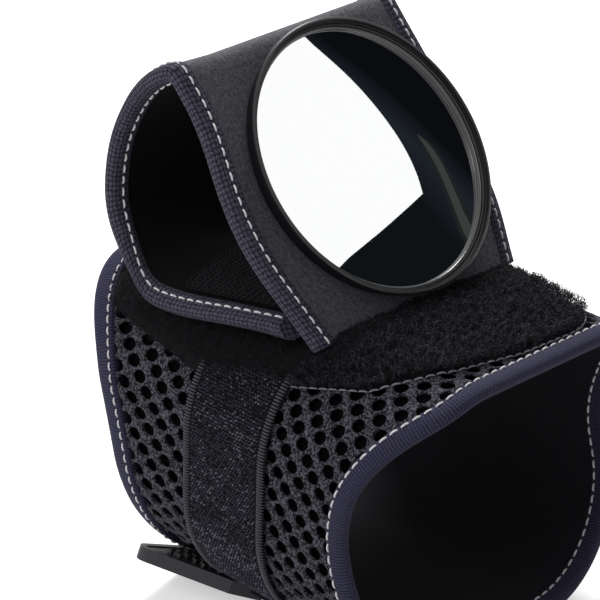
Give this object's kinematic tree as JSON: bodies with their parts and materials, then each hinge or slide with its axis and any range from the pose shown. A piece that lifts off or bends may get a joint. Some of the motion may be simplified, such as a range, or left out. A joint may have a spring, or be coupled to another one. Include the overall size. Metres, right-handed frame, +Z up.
{
  "type": "wrist mirror band",
  "caption": "Air-mesh wrist band with a folded felt flap that holds a round convex rear-view mirror; the flap's tilt is set on a loop pad and a hook tab closes the band.",
  "frame": {"origin": "middle of the flat strap face under the wrist, which the band rests on", "axes": "+X along the forearm from hand to elbow, +Y across the wrist away from the closure side, +Z up from the palm side to the mirror"},
  "size_m": [0.0857, 0.0734, 0.1038],
  "materials": {
    "band_lining": "smooth knitted lining",
    "air_mesh": "spacer mesh with round holes",
    "edge_binding": "fine ribbed binding tape",
    "loop_pile": "fuzzy brushed loop",
    "loop_tape": "woven loop tape",
    "strap_webbing": "woven elastic webbing",
    "charcoal_felt": "heathered felt",
    "flap_lining": "smooth black lining",
    "stiff_board": "plain",
    "foam": "closed-cell foam",
    "bezel_plastic": "satin black",
    "mirror_silver": "silvered convex",
    "hook_tape": "woven hook tape",
    "ribbed_tape": "ribbed tape",
    "tab_plastic": "moulded, satin"
  },
  "bodies": {
    "band": {"inner_lining": "band_lining", "mesh_shell": "air_mesh", "hand_edge_binding": "edge_binding", "elbow_edge_binding": "edge_binding", "loop_pad": "loop_pile", "closure_loop_tape": "loop_tape", "closure_strap": "strap_webbing", "flap_root_hem": "loop_pile"},
    "mirror_leaf": {"mirror_leaf_felt": "charcoal_felt", "mirror_leaf_lining": "flap_lining", "mirror_leaf_board": "stiff_board", "mirror_leaf_near_binding": "edge_binding", "mirror_leaf_far_binding": "edge_binding", "mirror_foam_pad": "foam", "mirror_housing": "bezel_plastic", "mirror_glass": "mirror_silver", "mirror_retaining_ring": "bezel_plastic"},
    "back_leaf": {"back_leaf_felt": "charcoal_felt", "back_leaf_lining": "flap_lining", "back_leaf_near_binding": "edge_binding", "back_leaf_far_binding": "edge_binding"},
    "base_leaf": {"base_leaf_felt": "charcoal_felt", "base_leaf_lining": "flap_lining", "base_leaf_near_binding": "edge_binding", "base_leaf_far_binding": "edge_binding", "base_leaf_hook_tape": "hook_tape", "base_leaf_ribbed_tape": "ribbed_tape"},
    "hook_tab": {"hook_tab": "tab_plastic", "tab_hooks": "tab_plastic"}
  },
  "joints": [
    {"name": "mirror_tilt", "type": "hinge", "parent": "band", "child": "mirror_leaf", "pos_m": [0.0197, 0, 0.06252], "axis": [0, 1, 0], "range_deg": [-8, 2]},
    {"name": "crest_fold", "type": "hinge", "parent": "mirror_leaf", "child": "back_leaf", "pos_m": [-0.01336, 0, 0.09811], "axis": [0, 1, 0], "range_deg": [-6.8, 27.2]},
    {"name": "heel_fold", "type": "hinge", "parent": "back_leaf", "child": "base_leaf", "pos_m": [-0.02578, 0, 0.06973], "axis": [0, 1, 0], "range_deg": [-19.2, 4.8]},
    {"name": "tab_peel", "type": "hinge", "parent": "band", "child": "hook_tab", "pos_m": [0, -0.02195, 0.00238], "axis": [1, 0, 0], "range_deg": [0, 60]}
  ],
  "couplings": [
    {"joint": "crest_fold", "follows": "mirror_tilt", "ratio": -3.4},
    {"joint": "heel_fold", "follows": "mirror_tilt", "ratio": 2.4}
  ]
}
